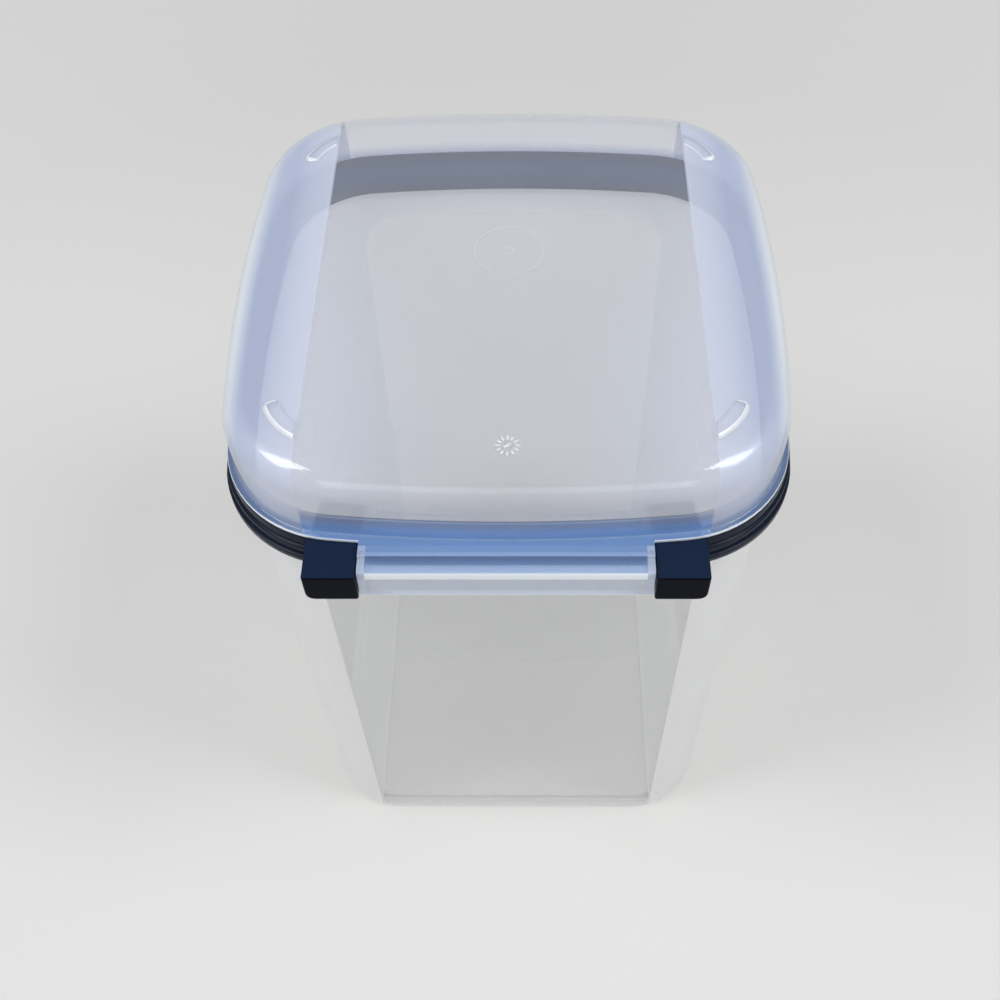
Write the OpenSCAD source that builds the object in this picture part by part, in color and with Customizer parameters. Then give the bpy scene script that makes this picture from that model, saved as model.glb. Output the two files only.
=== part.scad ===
// Rice bin with a flip lid.
// The ring and the lid are wall sections carried round one bowed, rounded outline.
// The container's wall follows that outline at its rim and is straight-sided at its base.
// Origin at the centre of the container's base, +Z up, the hinge on the -Y side. Millimetres.

/* [Overall] */
// Height from the floor to the top of the stacking lugs
total_h = 340; // [260:1:440]
// Width of the rim ring, the widest piece
ring_w = 246; // [210:1:300]
// Depth of the rim ring, without the hinge blocks
ring_d = 244; // [210:1:300]
// Radius of the ring's four corners in plan
corner_r = 54; // [44:1:64]
// Radius of the slightly bowed sides in plan
side_r = 730; // [500:10:2000]

/* [Container] */
// Wall thickness
wall = 1.8; // [1.4:0.1:2.6]
// Thickness of the floor
floor_t = 2.2; // [1.6:0.1:3.2]
// How far the wall lies inside the ring's outer face, under the ring
wall_inset = 7.9; // [7.6:0.1:9]
// How much each side draws in from rim to base
draft = 7.6; // [2:0.2:12]
// Radius of the four corners at the base, where the sides are straight
base_corner_r = 37; // [28:1:44]
// Distance from the container's rim down from the ring's top
rim_drop = 4; // [3.5:0.1:6]
// How far the rim bead stands out from the wall
bead_out = 1.8; // [1:0.1:2.4]
// Height of the rim bead
bead_h = 5.5; // [4:0.1:8]
// Radius of the base edge
base_r = 5; // [3:0.5:7]
// Width of the ring-shaped foot
foot_w = 3.2; // [2:0.1:5]
// Depth of the recess inside the foot, which takes the lugs of a bin below
foot_h = 2; // [1.4:0.1:3]

/* [Rim ring] */
// Height of the ring's outer skirt, from its top to its lower lip
skirt_h = 14; // [11:0.5:20]
// Thickness of the ring's web and outer skirt
ring_t = 1.8; // [1.4:0.1:2]
// Thickness of the leg that carries the snap hook
leg_t = 1.4; // [1:0.1:1.6]
// Step inwards of the band above the lower lip
lip_step = 1.2; // [0.6:0.1:2]
// Step inwards of the top band above the lip's groove
band_step = 1.1; // [0.6:0.1:2]
// Height of the collar that stands up inside the lid
collar_h = 9; // [5:0.5:14]
// Inset of the collar from the ring's outer face
collar_inset = 8; // [7.8:0.1:8.6]
// Thickness of the collar at its top
collar_t = 1.3; // [1:0.1:2]
// Depth of the plug inside the container, below the web
plug_h = 10.4; // [5:0.2:14]
// Thickness of the plug at its lower end
plug_t = 1.8; // [1.2:0.1:2.4]
// Gap between pieces that slide over each other
fit_gap = 0.3; // [0.2:0.05:0.5]

/* [Lid] */
// Height of the lid from the ring's top to its top panel
lid_h = 34.8; // [24:0.2:50]
// Wall thickness of the lid
lid_t = 1.8; // [1.4:0.1:2]
// Inset of the lid's flange from the ring's outer face
flange_inset = 2.7; // [2:0.1:4]
// Width of the flange outside the lid's wall
flange_w = 2.7; // [2:0.1:5]
// Radius of the shoulder between the lid's wall and its top
shoulder_r = 12; // [8:0.5:18]
// Gap between the lid's flange and the ring's top
seat_gap = 0.2; // [0.1:0.05:0.4]
// Height of the four stacking lugs
lug_h = 1.2; // [0.8:0.1:1.8]
// Radial width of a lug at its foot
lug_w = 7.2; // [5:0.1:9]
// How far the outer side of a lug leans in from foot to top
lug_lean = 2.2; // [0.2:0.1:2.6]
// Angle that a lug covers round its corner
lug_sweep = 42; // [30:1:60]
// Direction of a lug's middle from its corner's centre, from the X axis
lug_mid = 38; // [34:1:50]
// Play of the lugs inside the foot of a bin stacked on top
lug_play = 1; // [0.5:0.1:4]

/* [Hinge] */
// Clear width between the two hinge blocks
block_span = 117.4; // [90:0.2:130]
// Width of one hinge block
block_w = 21; // [16:0.5:26]
// How far the blocks stand out behind the ring
block_out = 11.1; // [10:0.1:16]
// Height of a hinge block
block_h = 16; // [14:0.5:20]
// Diameter of the lid's trunnions
trunnion_d = 6; // [4:0.1:7]
// Length of a trunnion inside its block
trunnion_l = 6; // [4:0.5:9]
// Radial play of a trunnion in its bore
bore_play = 0.08; // [0.03:0.01:0.1]
// Hinge line behind the ring's outer face
pivot_out = 3.5; // [3:0.1:6]
// Hinge line below the ring's top
pivot_drop = 10; // [8.5:0.1:12]
// Angle the lid opens to, a little before its lip would meet the ring
open_angle = 105; // [90:1:120]
// How far the tongue's front lip stands behind the hinge line
lip_out = 5.5; // [4:0.1:7]
// Thickness of the tongue's two end ears
ear_t = 3; // [2:0.1:4]
// Gap between the tongue's ears and the blocks
ear_gap = 0.5; // [0.3:0.1:1]

/* [Hidden] */
milky = [0.86, 0.88, 0.91, 0.55];
navy = [0.10, 0.14, 0.22];
soft_white = [0.93, 0.93, 0.90];
// Segments along half a bowed side and round a corner
side_steps = 3;
corner_steps = 10;
// Segments round the lid's shoulder and the small edge radii
shoulder_steps = 6;
edge_steps = 3;
round_fn = 48;
eps = 0.01;

ring_a = ring_w / 2;
ring_b = ring_d / 2;
ring_top = total_h - lug_h - lid_h;
rim_z = ring_top - rim_drop;
bead_e = wall_inset - bead_out;
snap_gap = 0.4;
snap_out = bead_e - snap_gap;
plug_e = wall_inset + wall + fit_gap;
ring_low = ring_top - skirt_h;
web_low = ring_top - ring_t;
lid_wall = flange_inset + flange_w;
lid_low = ring_top + seat_gap;
lid_top = total_h - lug_h;

// Outline: side arcs and corner arcs that meet at a tangent
side_cx = [ring_a - side_r, 0];
side_cy = [0, ring_b - side_r];
centre_gap = norm(side_cx - side_cy);
corner_reach = sqrt(pow(side_r - corner_r, 2) - pow(centre_gap / 2, 2));
corner_c = (side_cx + side_cy) / 2
    + [side_r - ring_b, side_r - ring_a] / centre_gap * corner_reach;
side_angle = atan2(corner_c.y, corner_c.x - side_cx.x);
top_angle = atan2(corner_c.y - side_cy.y, corner_c.x);

// Point at an angle on a circle
function on_circle(c, r, a) = c + r * [cos(a), sin(a)];

// A quarter of the bowed outline, drawn in by e, from +X round to +Y
function bowed_quarter(e) = concat(
    [for (i = [0:side_steps - 1]) on_circle(side_cx, side_r - e, side_angle * i / side_steps)],
    [for (i = [0:corner_steps])
        on_circle(corner_c, corner_r - e, side_angle + (top_angle - side_angle) * i / corner_steps)],
    [for (i = [1:side_steps])
        on_circle(side_cy, side_r - e, top_angle + (90 - top_angle) * i / side_steps)]
);

// A whole outline from its first quarter, mirrored twice
function all_quarters(q) =
    let (n = len(q))
    concat(
        q,
        [for (i = [n - 2:-1:0]) [-q[i].x, q[i].y]],
        [for (i = [1:n - 1]) -q[i]],
        [for (i = [n - 2:-1:1]) [q[i].x, -q[i].y]]
    );

// The bowed outline, drawn in by e
function outline(e) = all_quarters(bowed_quarter(e));

// Where the bowed outline, drawn in by e, crosses the back at a given x
function back_y(e, x) =
    abs(x) < corner_c.x
    ? -(side_cy.y + sqrt(pow(side_r - e, 2) - x * x))
    : -(corner_c.y + sqrt(pow(corner_r - e, 2) - pow(abs(x) - corner_c.x, 2)));

// Points of a small arc in a wall section, as [inset, z]
function section_arc(c, r, from, to, steps) =
    [for (i = [0:steps]) on_circle(c, r, from + (to - from) * i / steps)];

// Level outlines, one for each corner of a wall section drawn as [inset, z]
function outlines_at(section) =
    [for (p = section) [for (q = outline(p.x)) [q.x, q.y, p.y]]];

// The points of a list of outlines, in one list
function joined(loops) = [for (loop = loops) for (p = loop) p];

// Triangles between neighbouring rings, clockwise from outside where the outer side runs upwards
function swept_faces(rings, n, closed) = [
    for (k = [0:rings - (closed ? 1 : 2)])
    for (i = [0:n - 1])
    for (t = [0:1])
    let (
        a = k * n + i,
        b = k * n + (i + 1) % n,
        c = ((k + 1) % rings) * n + (i + 1) % n,
        d = ((k + 1) % rings) * n + i
    )
    t == 0 ? [a, c, b] : [a, d, c]
];

// A closed loop of outlines
module swept_ring(loops) {
    polyhedron(joined(loops), swept_faces(len(loops), len(loops[0]), true), convexity = 6);
}

// Outlines from an outer panel round the rim to an inner panel, open upwards like a cup
// or, where the outer panel is the higher one, downwards like a dome
module swept_shell(loops) {
    n = len(loops[0]);
    rings = len(loops);
    first_cap = [for (i = [0:n - 1]) i];
    last_cap = [for (i = [n - 1:-1:0]) (rings - 1) * n + i];
    faces = concat(swept_faces(rings, n, false), [first_cap, last_cap]);
    dome = loops[0][0].z > loops[rings - 1][0].z;
    polyhedron(
        joined(loops),
        dome ? [for (f = faces) [for (i = [len(f) - 1:-1:0]) f[i]]] : faces,
        convexity = 6
    );
}

// Container

base_half = [ring_a, ring_b] - (wall_inset + draft) * [1, 1];
foot_in = base_r + foot_w;
foot_edge = 0.4;
floor_z = foot_h + floor_t;
floor_r = 3.2;
bead_low = rim_z - bead_h;
bead_slope = 0.8;
rim_edge = 0.5;

// A quarter of the straight-sided base outline, drawn in by d, with as many points as the bowed one
function base_quarter(d) =
    let (c = base_half - base_corner_r * [1, 1])
    concat(
        [for (i = [0:side_steps - 1]) [base_half.x - d, c.y * i / side_steps]],
        [for (i = [0:corner_steps]) on_circle(c, base_corner_r - d, 90 * i / corner_steps)],
        [for (i = [1:side_steps]) [c.x * (1 - i / side_steps), base_half.y - d]]
    );

// The container's outline at a height, drawn in by d from the wall's outer face
function wall_outline(d, z) =
    let (
        rise = z / rim_z,
        low = base_quarter(d),
        high = bowed_quarter(wall_inset + d)
    )
    all_quarters(low + (high - low) * rise);

// The wall's section as [inset from its outer face, z], from the foot up, over the rim and down inside
container_section = concat(
    [[foot_in + foot_edge, foot_h], [foot_in, foot_edge], [foot_in - foot_edge, 0]],
    section_arc([base_r, base_r], base_r, 270, 180, 4),
    [
        [0, bead_low - bead_slope],
        [-bead_out, bead_low],
        [-bead_out, rim_z - rim_edge],
        [-bead_out + rim_edge, rim_z],
        [wall - rim_edge, rim_z],
        [wall, rim_z - rim_edge]
    ],
    section_arc([wall + floor_r, floor_z + floor_r], floor_r, 180, 270, edge_steps)
);

module container() {
    color(milky)
    swept_shell([
        for (p = container_section) [for (q = wall_outline(p.x, p.y)) [q.x, q.y, p.y]]
    ]);
}

// Rim ring

lip_h = 3.6;
groove_h = 4.4;
edge = 0.4;
top_edge = 0.5;
band_lean = 0.3;
groove_e = lip_step;
band_e = lip_step + band_step;
groove_z = ring_low + lip_h;
band_z = groove_z + edge + groove_h;
collar_foot = 0.5;
collar_lean = 0.3;
collar_z = ring_top + collar_h;
collar_in = collar_inset + collar_lean + collar_t;
plug_low = web_low - plug_h;
// The plug leans in with the container's wall
plug_lean = draft * (rim_z - plug_low) / rim_z;
plug_in = plug_e + plug_t;
hook_e = snap_out + 1.4;
hook_top = bead_low - bead_slope - 0.3;
hook_flat = 0.9;
hook_lead = 1.4;
leg_low = hook_top - hook_flat - hook_lead;
leg_out = snap_out - leg_t;
slot_z = band_z - edge;

// The ring's section, up the stepped outer side, over the collar and down through the three legs
ring_section = [
    [edge, ring_low],
    [0, ring_low + edge],
    [0, groove_z - edge],
    [edge, groove_z],
    [groove_e, groove_z + edge],
    [groove_e, band_z - edge],
    [groove_e + edge, band_z],
    [band_e, band_z + edge],
    [band_e + band_lean, ring_top - top_edge],
    [band_e + band_lean + top_edge, ring_top],
    [collar_inset - collar_foot, ring_top],
    [collar_inset, ring_top + collar_foot],
    [collar_inset + collar_lean, collar_z - edge],
    [collar_inset + collar_lean + edge, collar_z],
    [collar_in - edge, collar_z],
    [collar_in, collar_z - edge],
    [plug_in, plug_low + edge],
    [plug_in - edge, plug_low],
    [plug_e + plug_lean + edge, plug_low],
    [plug_e + plug_lean, plug_low + edge],
    [plug_e, web_low],
    [snap_out, web_low],
    [snap_out, hook_top + edge],
    [hook_e, hook_top],
    [hook_e, hook_top - hook_flat],
    [snap_out, leg_low],
    [leg_out, leg_low],
    [leg_out, slot_z],
    [groove_e + ring_t, slot_z],
    [groove_e + ring_t, groove_z],
    [ring_t, groove_z - edge],
    [ring_t, ring_low]
];

// Hinge places shared by the ring, the blocks and the lid, in the plane across the back
pivot_y = -ring_b - pivot_out;
pivot_z = ring_top - pivot_drop;
block_in = block_span / 2;
block_outer = block_in + block_w;
block_front = -ring_b - block_out;
block_low = ring_top - block_h;
lip_y = pivot_y - lip_out;
lip_corner = [-lip_out, block_low - pivot_z];
stop_gap = 0.2;
// How near the bin the lower corner of the lip has swung at the open angle
lip_swing = norm(lip_corner) * cos(atan2(lip_corner.y, lip_corner.x) + open_angle);
relief_y = pivot_y + lip_swing + stop_gap;
seat_e = 3.2;
seat_steps = 6;
rail_out = ring_t - 0.2;
rail_in = leg_out + 0.3;
rail_end = block_outer + 3;
tenon_w = 9;
tenon_h = 8;
tenon_l = 1.4;
tenon_gap = 0.15;
tenon_x = block_in + block_w / 2 + 1.5;
tenon_z = block_low + block_h / 2;
tenon_y = back_y(seat_e, tenon_x);

// Points along the back of the bowed outline, drawn in by e, between two places on X
function back_curve(e, from, to) =
    [for (i = [0:seat_steps]) let (x = from + (to - from) * i / seat_steps) [x, back_y(e, x)]];

// The tenon behind a block, or with a gap the mortise for it
module tenon(gap) {
    translate([tenon_x - tenon_w / 2 - gap, tenon_y - tenon_l, tenon_z - tenon_h / 2 - gap])
        cube([tenon_w + 2 * gap, 2 * tenon_l + gap, tenon_h + 2 * gap]);
}

// Mirrored copies on both sides of the hinge
module both_sides() {
    for (side = [0, 1]) mirror([side, 0, 0]) children();
}

// Solid rail that fills the slot behind the blocks and between them
module hinge_rail() {
    translate([0, 0, ring_low])
        linear_extrude(slot_z - ring_low + eps)
            polygon(concat(
                back_curve(rail_out, -rail_end, rail_end),
                back_curve(rail_in, rail_end, -rail_end)
            ));
}

// Room for a block, behind the curve that it seats on
module block_seat() {
    from = block_in - fit_gap;
    to = block_outer + fit_gap;
    translate([0, 0, ring_low - 1])
        linear_extrude(skirt_h + 2)
            polygon(concat(
                [[to, block_front], [from, block_front], [from, back_y(seat_e, from)]],
                back_curve(seat_e, block_in, block_outer),
                [[to, back_y(seat_e, to)]]
            ));
}

module rim_ring() {
    color(navy)
    difference() {
        union() {
            swept_ring(outlines_at(ring_section));
            hinge_rail();
        }
        translate([-block_in, relief_y - block_out, ring_low - 1])
            cube([block_span, block_out, skirt_h + 2]);
        both_sides() block_seat();
        both_sides() tenon(tenon_gap);
    }
}

// Rim gasket

gasket_bulge = 0.3;

module rim_gasket() {
    low = bead_e + rim_edge;
    high = wall_inset + wall - rim_edge;
    middle = (rim_z + web_low) / 2;
    color(soft_white)
    swept_ring(outlines_at([
        [low, rim_z],
        [low - gasket_bulge, middle],
        [low, web_low],
        [high, web_low],
        [high + gasket_bulge, middle],
        [high, rim_z]
    ]));
}

// Hinge blocks

block_round = 4.5;
block_small = 0.8;
block_side = 1.2;

// Disc of radius r that touches the two sides meeting at a corner
module corner_disc(x, y, r, dx, dy) {
    translate([x + dx * r, y + dy * r]) circle(r, $fn = 32);
}

// Block seen from behind, with a large round on the outer lower corner
module block_face() {
    hull() {
        corner_disc(block_in, block_low, block_side, 1, 1);
        corner_disc(block_outer, block_low, block_round, -1, 1);
        corner_disc(block_outer, ring_top, block_small, -1, -1);
        corner_disc(block_in, ring_top, block_small, 1, -1);
    }
}

// Block seen from above, with round edges at the back of the bin and a curved seat on the ring
module block_plan() {
    near_y = back_y(seat_e, block_in);
    hull() {
        corner_disc(block_in, block_front, block_small, 1, 1);
        corner_disc(block_outer, block_front, block_side, -1, 1);
        translate([block_in, near_y - 1]) square([block_w, 1]);
    }
    polygon(concat(
        [[block_outer, near_y - 1], [block_in, near_y - 1]],
        back_curve(seat_e, block_in, block_outer)
    ));
}

module hinge_block() {
    color(navy)
    difference() {
        union() {
            intersection() {
                translate([0, back_y(seat_e, block_outer), 0])
                    rotate([90, 0, 0])
                        linear_extrude(back_y(seat_e, block_outer) - block_front) block_face();
                translate([0, 0, block_low]) linear_extrude(block_h) block_plan();
            }
            tenon(0);
        }
        translate([block_in - 1, pivot_y, pivot_z])
            rotate([0, 90, 0])
                cylinder(h = trunnion_l + fit_gap + 1, r = trunnion_d / 2 + bore_play, $fn = round_fn);
    }
}

module hinge_block_right() hinge_block();

module hinge_block_left() mirror([1, 0, 0]) hinge_block();

// Lid

flange_edge = 0.5;
wall_fillet = 0.6;
flange_top = lid_low + lid_t;
shoulder_c = [lid_wall + shoulder_r, lid_top - shoulder_r];
ear_r = pivot_z - block_low;
tongue_half = block_in - ear_gap;
ridge_y = pivot_y + 1.5;
shelf_z = flange_top - 1.4;
lip_t = lid_t;
lip_round = 2.4;
lip_edge = 0.5;
front_arc_c = [lip_y + lip_round, shelf_z - 1 - lip_round];
tongue_root = -ring_b + lid_wall + lid_t / 2;
plate_under = relief_y - 2.4;
dimple_d = 2.2;
dimple_h = 0.6;

module lid_dome() {
    swept_shell(outlines_at(concat(
        section_arc(shoulder_c, shoulder_r, 90, 180, shoulder_steps),
        [
            [lid_wall, flange_top + wall_fillet],
            [lid_wall - wall_fillet, flange_top],
            [flange_inset + flange_edge, flange_top],
            [flange_inset, flange_top - flange_edge],
            [flange_inset, lid_low + flange_edge],
            [flange_inset + flange_edge, lid_low],
            [lid_wall + lid_t, lid_low]
        ],
        section_arc(shoulder_c, shoulder_r - lid_t, 180, 90, shoulder_steps)
    )));
}

// The tongue's top and front as [y, z], from the lid's wall out over the ridge and down the lip
tongue_outside = concat(
    [
        [tongue_root, flange_top],
        [ridge_y + 0.3, flange_top],
        [ridge_y, flange_top - 0.3],
        [ridge_y - 0.3, shelf_z]
    ],
    section_arc(front_arc_c, lip_round, 90, 180, 4),
    [[lip_y, block_low + lip_edge], [lip_y + lip_edge, block_low]]
);

// Curved plate with a hanging front lip, drawn as a profile across the hinge
module tongue_profile() {
    polygon(concat(
        tongue_outside,
        [[lip_y + lip_t - 0.3, block_low], [lip_y + lip_t, block_low + 0.6]],
        section_arc([lip_y + lip_t + 1.2, shelf_z - lip_t - 1.8], 1.2, 180, 90, 3),
        [[plate_under - 1, shelf_z - lip_t - 0.2], [plate_under, lid_low], [tongue_root, lid_low]]
    ));
}

// End ear, round about the hinge line so that it swings clear of the ring
module ear_profile() {
    polygon(concat(
        [[pivot_y + ear_r, flange_top]],
        [for (i = [1:len(tongue_outside) - 1]) tongue_outside[i]],
        section_arc([pivot_y, pivot_z], ear_r, 270, 360, 6)
    ));
}

// A profile drawn as [y, z], extruded along X from one place to another
module along_x(from, to) {
    translate([from, 0, 0])
        rotate([90, 0, 90])
            linear_extrude(to - from) children();
}

module lid_tongue() {
    along_x(-tongue_half, tongue_half) tongue_profile();
    both_sides() along_x(tongue_half - ear_t, tongue_half) ear_profile();
    both_sides()
        translate([tongue_half - ear_t / 2, pivot_y, pivot_z])
            rotate([0, 90, 0])
                cylinder(h = ear_t / 2 + ear_gap + trunnion_l, d = trunnion_d, $fn = round_fn);
}

lug_out_r = base_half.x - foot_in - foot_edge - lug_play - corner_c.x;
lug_in_r = lug_out_r - lug_w;
lug_edge = 0.4;

// A lug's section as [radius, height], from inside the lid's top panel
lug_section = [
    [lug_in_r, -lid_t / 2],
    [lug_out_r, -lid_t / 2],
    [lug_out_r, 0],
    [lug_out_r - lug_lean, lug_h],
    [lug_in_r + lug_edge, lug_h],
    [lug_in_r, lug_h - lug_edge]
];

// Raised arcs near the four corners, which locate the foot of a bin stacked on top
module stacking_lugs() {
    for (flip_x = [0, 1], flip_y = [0, 1])
        mirror([flip_x, 0, 0]) mirror([0, flip_y, 0])
            translate([corner_c.x, corner_c.y, lid_top])
                rotate([0, 0, lug_mid - lug_sweep / 2])
                    rotate_extrude(angle = lug_sweep, $fn = round_fn) polygon(lug_section);
}

module lid() {
    color(milky)
    difference() {
        union() {
            lid_dome();
            lid_tongue();
            stacking_lugs();
        }
        both_sides()
            translate([tongue_half - ear_t / 2, ridge_y + dimple_d / 2, flange_top - dimple_h])
                cylinder(h = dimple_h + 1, d = dimple_d, $fn = round_fn);
    }
}

container();
rim_ring();
rim_gasket();
hinge_block_left();
hinge_block_right();
lid();
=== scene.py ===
import math

import bmesh
import bpy
import numpy as np
from mathutils import Matrix, Vector


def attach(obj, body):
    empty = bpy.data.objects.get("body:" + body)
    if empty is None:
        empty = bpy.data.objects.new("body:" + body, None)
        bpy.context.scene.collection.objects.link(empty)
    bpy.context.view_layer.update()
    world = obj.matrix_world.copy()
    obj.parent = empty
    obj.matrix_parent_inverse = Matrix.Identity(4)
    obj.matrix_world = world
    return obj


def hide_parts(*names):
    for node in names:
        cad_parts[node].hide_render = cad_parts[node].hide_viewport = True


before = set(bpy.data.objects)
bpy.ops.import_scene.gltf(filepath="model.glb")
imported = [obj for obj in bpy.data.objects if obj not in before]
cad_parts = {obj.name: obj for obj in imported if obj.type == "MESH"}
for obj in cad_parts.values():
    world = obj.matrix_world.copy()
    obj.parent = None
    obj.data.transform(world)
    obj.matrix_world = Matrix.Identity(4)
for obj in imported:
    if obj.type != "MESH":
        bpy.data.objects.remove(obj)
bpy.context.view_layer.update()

# Sizes in millimetres, as in the part's source
MM = 0.001  # metres
MEETING = 1e-7  # metres, closer points are one point
HALF_W, HALF_D = 123.0, 122.0
CORNER_R, SIDE_R = 54.0, 730.0
RING_TOP, RING_LOW, RIM_Z = 304.0, 290.0, 300.0
LID_TOP, LUG_H = 338.8, 1.2
SIDE_STEPS, CORNER_STEPS = 10, 16
BLOCK_IN, BLOCK_W, BLOCK_FRONT, BLOCK_LOW = 58.7, 21.0, -133.1, 288.0
BLOCK_OUTER = BLOCK_IN + BLOCK_W
COLLAR_EDGE = 312.5  # the collar's rounded top starts here
PIVOT_Y, PIVOT_Z = -125.5, 294.0
SEAT_E = 3.2  # how far inside the ring's outline the blocks sit
RELIEF_Y = -118.08  # the ring is cut back to here for the lid's lip
THROUGH_RING = (289, 305)  # from below to above what is cut away
TONGUE_HALF, EAR_T = 58.2, 3.0
TRUNNION_R, TRUNNION_END, BORE_R, BORE_END = 3.0, 64.7, 3.08, 65.0
ROUND = (0, 352.5, 47)  # 48 points of a full circle, from the first angle to the last
CLEAR_HALF = 81.0  # half the lid's clear stripe
WINDOW_HALF, WINDOW_TOP, WINDOW_R = 80.0, 276.0, 22.0  # the clear windows in front and back
BACKDROP, BACKDROP_LEVEL, WORLD_LEVEL = (0.96, 0.975, 1.0, 1.0), 0.88, 0.40
FLOOR_HALF = 9000.0

# The photograph's view: degrees, millimetres, and pixels of its 1000 pixel width
VIEW_PITCH, VIEW_YAW, VIEW_ROLL = 54.20, -0.75, -0.63
VIEW_PLACE = (10.6, -377.9, 695.3)
VIEW_FOCUS, VIEW_MIDDLE, VIEW_WIDTH = 1191.9, 524, 1000


# ---------- outlines and sections ----------

def circle_point(centre, r, angle):
    return centre + r * np.array([math.cos(angle), math.sin(angle)])


side_cx = np.array([HALF_W - SIDE_R, 0.0])
side_cy = np.array([0.0, HALF_D - SIDE_R])
centres_apart = np.linalg.norm(side_cx - side_cy)
out_from_middle = math.sqrt((SIDE_R - CORNER_R) ** 2 - (centres_apart / 2) ** 2)
outward = np.array([SIDE_R - HALF_D, SIDE_R - HALF_W]) / centres_apart
corner_c = (side_cx + side_cy) / 2 + outward * out_from_middle
side_angle = math.atan2(corner_c[1], corner_c[0] - side_cx[0])
top_angle = math.atan2(corner_c[1] - side_cy[1], corner_c[0])


def bowed_quarter(e):
    """A quarter of the bowed outline, drawn in by e, from +X round to +Y."""
    points = [circle_point(side_cx, SIDE_R - e, side_angle * i / SIDE_STEPS) for i in range(SIDE_STEPS)]
    points += [circle_point(corner_c, CORNER_R - e, side_angle + (top_angle - side_angle) * i / CORNER_STEPS)
               for i in range(CORNER_STEPS + 1)]
    points += [circle_point(side_cy, SIDE_R - e, top_angle + (math.pi / 2 - top_angle) * i / SIDE_STEPS)
               for i in range(1, SIDE_STEPS + 1)]
    return np.array(points)


def all_quarters(q):
    """The whole outline from its first quarter, mirrored twice."""
    left = q[-2::-1] * [-1, 1]
    lower = -q[1:]
    right = q[-2:0:-1] * [1, -1]
    return np.vstack([q, left, lower, right])


def outline(e, z):
    points = all_quarters(bowed_quarter(e))
    return np.column_stack([points, np.full(len(points), z)])


def back_y(e, x):
    """Where the outline, drawn in by e, crosses the hinge side at x."""
    if abs(x) < corner_c[0]:
        return -(side_cy[1] + math.sqrt((SIDE_R - e) ** 2 - x * x))
    return -(corner_c[1] + math.sqrt((CORNER_R - e) ** 2 - (abs(x) - corner_c[0]) ** 2))


def arc(cx, cy, r, start, end, steps):
    """Points of an arc in a section, its angles in degrees."""
    return [(cx + r * math.cos(math.radians(a)), cy + r * math.sin(math.radians(a)))
            for a in np.linspace(start, end, steps + 1)]


def rounded(points, radii, steps=4):
    """A closed polygon with each corner rounded by its own radius."""
    out = []
    n = len(points)
    for i, r in enumerate(radii):
        p, a, b = (np.array(points[k % n], float) for k in (i, i - 1, i + 1))
        if r <= 0:
            out.append(tuple(p))
            continue
        u, v = (a - p) / np.linalg.norm(a - p), (b - p) / np.linalg.norm(b - p)
        half = math.acos(np.clip(np.dot(u, v), -1, 1)) / 2
        reach_in = min(r / math.tan(half), 0.49 * np.linalg.norm(a - p), 0.49 * np.linalg.norm(b - p))
        for t in np.linspace(0, 1, steps + 1):
            q = (1 - t) ** 2 * (p + u * reach_in) + 2 * t * (1 - t) * p + t * t * (p + v * reach_in)
            out.append(tuple(q))
    return out


# ---------- meshes ----------

def mesh_object(name, verts, faces):
    """An object at the origin from points in millimetres, its normals outwards."""
    mesh = bpy.data.meshes.new(name)
    mesh.from_pydata([Vector(v) * MM for v in verts], [], faces)
    obj = bpy.data.objects.new(name, mesh)
    bpy.context.scene.collection.objects.link(obj)
    return outwards(obj)


def grid_faces(rings, n, closed):
    return [(k * n + i, k * n + (i + 1) % n, (k + 1) % rings * n + (i + 1) % n, (k + 1) % rings * n + i)
            for k in range(rings if closed else rings - 1) for i in range(n)]


def swept_ring(name, section):
    """A closed section of (inset, z) carried round the outline."""
    loops = [outline(e, z) for e, z in section]
    return mesh_object(name, np.vstack(loops), grid_faces(len(loops), len(loops[0]), True))


def swept_shell(name, loops):
    """Outlines of points, skinned in turn and closed by a face over the first and the last."""
    n, rings = len(loops[0]), len(loops)
    caps = [tuple(range(n)), tuple((rings - 1) * n + i for i in range(n))]
    return mesh_object(name, np.vstack(loops), grid_faces(rings, n, False) + caps)


def prism(name, profile, place, start, end):
    """A closed profile carried straight from start to end; place turns (u, v, w) into (x, y, z)."""
    n = len(profile)
    verts = [place(u, v, w) for w in (start, end) for u, v in profile]
    faces = [(i, (i + 1) % n, n + (i + 1) % n, n + i) for i in range(n)]
    return mesh_object(name, verts, faces + [tuple(range(n)), tuple(range(n, 2 * n))])


def along_x(u, v, w):
    return (w, u, v)


def along_z(u, v, w):
    return (u, v, w)


def applied(obj):
    """The object's modifiers turned into plain mesh."""
    graph = bpy.context.evaluated_depsgraph_get()
    mesh = bpy.data.meshes.new_from_object(obj.evaluated_get(graph))
    old = obj.data
    obj.modifiers.clear()
    obj.data = mesh
    bpy.data.meshes.remove(old)
    return obj


def combine(obj, parts, operation):
    """Adds or cuts parts, which are used up."""
    for part in parts:
        change = obj.modifiers.new("join", "BOOLEAN")
        change.operation, change.solver, change.object = operation, "EXACT", part
    applied(obj)
    for part in parts:
        bpy.data.objects.remove(part)
    return obj


def outwards(obj):
    """Joins points that meet and turns the normals outwards."""
    b = bmesh.new()
    b.from_mesh(obj.data)
    bmesh.ops.remove_doubles(b, verts=b.verts, dist=MEETING)
    bmesh.ops.recalc_face_normals(b, faces=b.faces)
    b.to_mesh(obj.data)
    b.free()
    return obj


def smooth(obj, angle=32):
    obj.data.polygons.foreach_set("use_smooth", [True] * len(obj.data.polygons))
    obj.data.set_sharp_from_angle(angle=math.radians(angle))
    return obj


def inset(x, y):
    """How far a point lies inside the ring's outline."""
    p = np.array([abs(x), abs(y)])
    angle = math.atan2(*(p - corner_c)[::-1])
    if p[0] > corner_c[0] and p[1] > corner_c[1] and side_angle < angle < top_angle:
        return CORNER_R - np.linalg.norm(p - corner_c)
    return min(SIDE_R - np.linalg.norm(p - c) for c in (side_cx, side_cy))


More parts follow.
